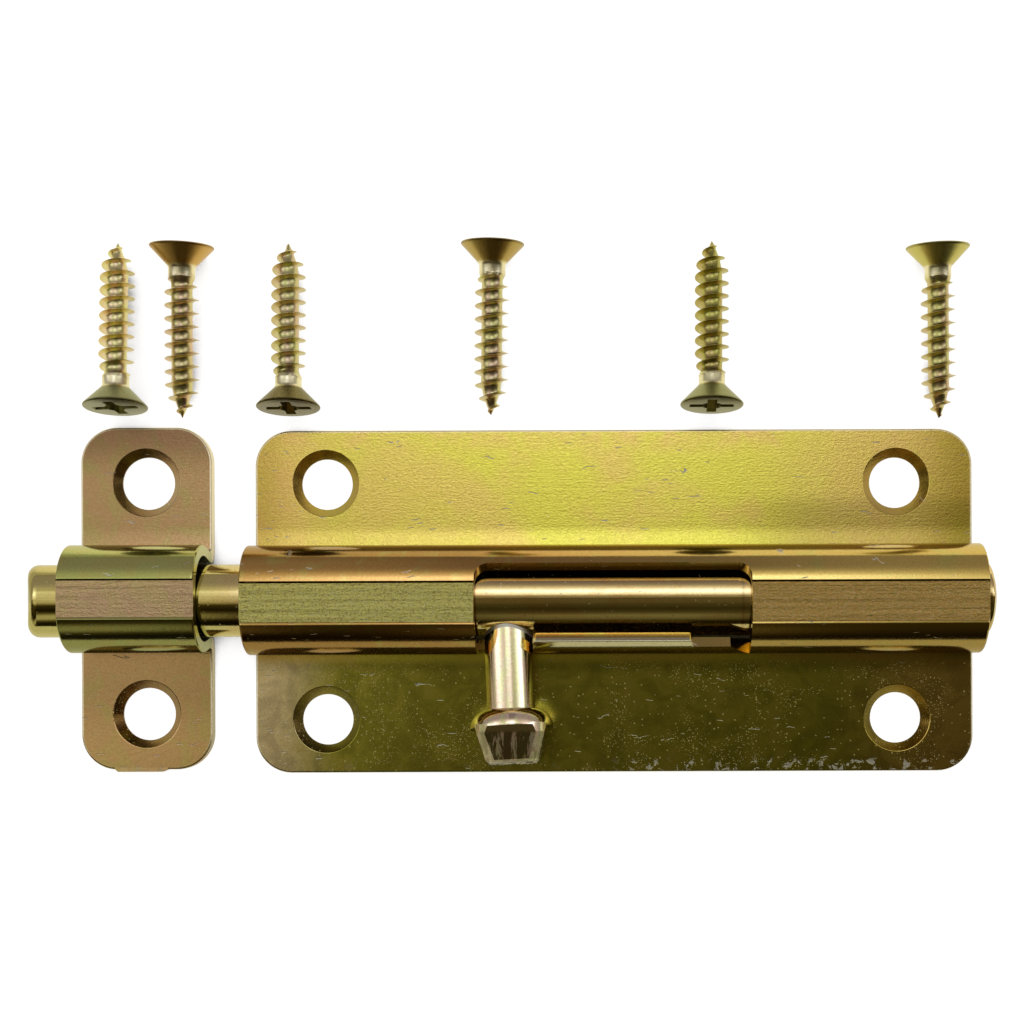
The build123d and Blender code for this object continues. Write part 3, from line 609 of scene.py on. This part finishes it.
def screw_mesh(name, phase, roll, place):
    """Point at z = 0, head on top, right-hand thread. Millimetres are turned to metres at the end."""
    bm = bmesh.new()
    around = 40
    rows = []
    turns = int(NECK_Z / PITCH) + 3
    for k in range(-2, turns):
        for u, h in RIDGE:
            row = []
            for j in range(around + 1):
                th = 2 * math.pi * j / around
                z = PITCH * (k + u + phase + j / around)
                zc = min(max(z, 0.0), NECK_Z)
                base = core_radius(zc)
                top = max(base, crest_radius(zc))
                r = base + (top - base) * h if zc == z else (NECK_R if z > 0 else 0.02)
                row.append(bm.verts.new((r * math.cos(th), r * math.sin(th), zc)))
            rows.append(row)
    for a, b in zip(rows, rows[1:]):
        for j in range(around):
            quad = (a[j], a[j + 1], b[j + 1], b[j])
            if max(v.co.z for v in quad) - min(v.co.z for v in quad) > 1e-9:
                bm.faces.new(quad)
    bmesh.ops.delete(bm, geom=[v for v in bm.verts if not v.link_faces], context="VERTS")
    bmesh.ops.remove_doubles(bm, verts=bm.verts, dist=2e-4)
    # neck, fillet, cone and rim, turned on the same axis
    cone_z = SCREW_L - RIM_H - HEAD_H
    prof = [(NECK_R, NECK_Z), (NECK_R, cone_z - 0.25), (NECK_R + 0.05, cone_z - 0.08), (NECK_R + 0.18, cone_z + 0.12),
            (HEAD_R - 0.10, SCREW_L - RIM_H - 0.09), (HEAD_R - 0.02, SCREW_L - RIM_H + 0.02), (HEAD_R, SCREW_L - RIM_H + 0.08),
            (HEAD_R - 0.02, SCREW_L - 0.08), (HEAD_R - 0.09, SCREW_L - 0.015), (HEAD_R - 0.18, SCREW_L)]
    me = bpy.data.meshes.new(name)
    bm.to_mesh(me)
    bm.free()
    hb = bmesh.new()
    seg = 80
    rings = [[hb.verts.new((r * math.cos(2 * math.pi * j / seg), r * math.sin(2 * math.pi * j / seg), z)) for j in range(seg)]
             for r, z in prof]
    for a, b in zip(rings, rings[1:]):
        for j in range(seg):
            hb.faces.new((a[j], a[(j + 1) % seg], b[(j + 1) % seg], b[j]))
    hb.faces.new(rings[-1])
    hb.faces.new(list(reversed(rings[0])))
    head_me = bpy.data.meshes.new(name + "_head")
    hb.to_mesh(head_me)
    hb.free()
    head = bpy.data.objects.new(name + "_head", head_me)
    scene.collection.objects.link(head)
    # the cross recess: two tapered slots and a tapered well
    cb = bmesh.new()

    def prism(lower, upper, z0, z1, turn):
        rot = Matrix.Rotation(math.radians(turn), 3, "Z")
        lo = [cb.verts.new(rot @ Vector((x, y, z0))) for x, y in lower]
        hi = [cb.verts.new(rot @ Vector((x, y, z1))) for x, y in upper]
        n = len(lo)
        for i in range(n):
            cb.faces.new((lo[i], lo[(i + 1) % n], hi[(i + 1) % n], hi[i]))
        cb.faces.new(list(reversed(lo)))
        cb.faces.new(hi)

    def rect(a, b):
        return [(-a, -b), (a, -b), (a, b), (-a, b)]

    def disc(r, n=24):
        return [(r * math.cos(2 * math.pi * i / n), r * math.sin(2 * math.pi * i / n)) for i in range(n)]

    cutters = [(rect(0.65, 0.27), rect(2.50, 0.54), SCREW_L - 1.75, SCREW_L + 0.02, roll),
               (rect(0.65, 0.27), rect(2.50, 0.54), SCREW_L - 1.75, SCREW_L + 0.02, roll + 90),
               (disc(0.45), disc(1.18), SCREW_L - 2.0, SCREW_L + 0.02, roll)]
    for c in cutters:
        prism(*c)
        cut_me = bpy.data.meshes.new(name + "_cut")
        cb.to_mesh(cut_me)
        cb.clear()
        cut = bpy.data.objects.new(name + "_cut", cut_me)
        scene.collection.objects.link(cut)
        mod = head.modifiers.new("recess", "BOOLEAN")
        mod.operation = "DIFFERENCE"
        mod.solver = "EXACT"
        mod.object = cut
        bpy.context.view_layer.update()
        done = bpy.data.meshes.new_from_object(head.evaluated_get(bpy.context.evaluated_depsgraph_get()))
        head.modifiers.clear()
        head.data = done
        bpy.data.objects.remove(cut)
    cb.free()
    out = bmesh.new()
    out.from_mesh(me)
    out.from_mesh(head.data)
    bpy.data.objects.remove(head)
    bmesh.ops.recalc_face_normals(out, faces=out.faces)
    for v in out.verts:
        v.co = place @ (v.co * MM)
    for f in out.faces:
        f.smooth = True
    for e in out.edges:
        if len(e.link_faces) == 2 and e.calc_face_angle(0.0) > math.radians(32):
            e.smooth = False
    out.to_mesh(me)
    out.free()
    return me


# x, y of the head's centre, head towards +Y (1) or -Y (-1), turn on the surface, turn of the recess, start of the
# thread, colour of the shank, colour of the head, both with painted light and shade set for that screw, and how far
# its highlight leans
SCREWS = [
    (-54.87, 21.44, -1, 0.70, 4, 0.38, (0.98, 0.90, 0.42), (0.31, 0.32, 0.165), 0.0),
    (-47.45, 39.36, 1, -1.57, 31, 0.89, (0.84, 0.72, 0.36), (0.62, 0.38, 0.11), 0.05),
    (-35.71, 21.33, -1, 0.88, -3, 0.66, (0.80, 0.74, 0.34), (0.19, 0.155, 0.05), 0.0),
    (-13.02, 39.56, 1, -1.19, 52, 0.69, (0.80, 0.72, 0.34), (0.48, 0.34, 0.10), 0.05),
    (11.20, 21.44, -1, -0.60, 2, 0.365, (0.62, 0.57, 0.16), (0.32, 0.32, 0.13), 0.08),
    (36.26, 39.03, 1, 1.50, 17, 0.21, (0.74, 0.67, 0.27), (0.60, 0.54, 0.16), 0.04),
]
for i, (hx, hy, way, turn, roll, phase, core, cone, lean) in enumerate(SCREWS, 1):
    gam = math.radians(turn)
    to_head = Vector((-way * math.cos(TILT) * math.sin(gam), way * math.cos(TILT) * math.cos(gam), math.sin(TILT)))
    side = Vector((math.cos(gam), math.sin(gam), 0))
    head_z = HEAD_R * math.cos(TILT) + RIM_H * math.sin(TILT)
    tip = Vector((hx, hy, head_z)) - to_head * SCREW_L
    turn_m = Matrix((side, to_head.cross(side), to_head)).transposed().to_4x4()
    place = Matrix.Translation(tip * MM) @ turn_m
    screw = bpy.data.objects.new(f"wood_screw_{i}", screw_mesh(f"wood_screw_{i}", phase, roll, place))
    scene.collection.objects.link(screw)
    screw.data.materials.append(plated_screw(f"plated_screw_{i}", core, cone, i, place, lean))
    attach(screw, "housing")
    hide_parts(f"screw_{i}")


# ---------------------------------------------------------------- finishes on the CAD pieces
def dress(obj, mat):
    obj.data.materials.clear()
    obj.data.materials.append(mat)


dress(nodes["housing_plate"], plated_sheet("plated_housing"))
dress(nodes["keeper"], plated_sheet("plated_keeper", keeper=True))
dress(nodes["bolt_rod"], plated_rod())
dress(nodes["handle_stud"], plated_stud())
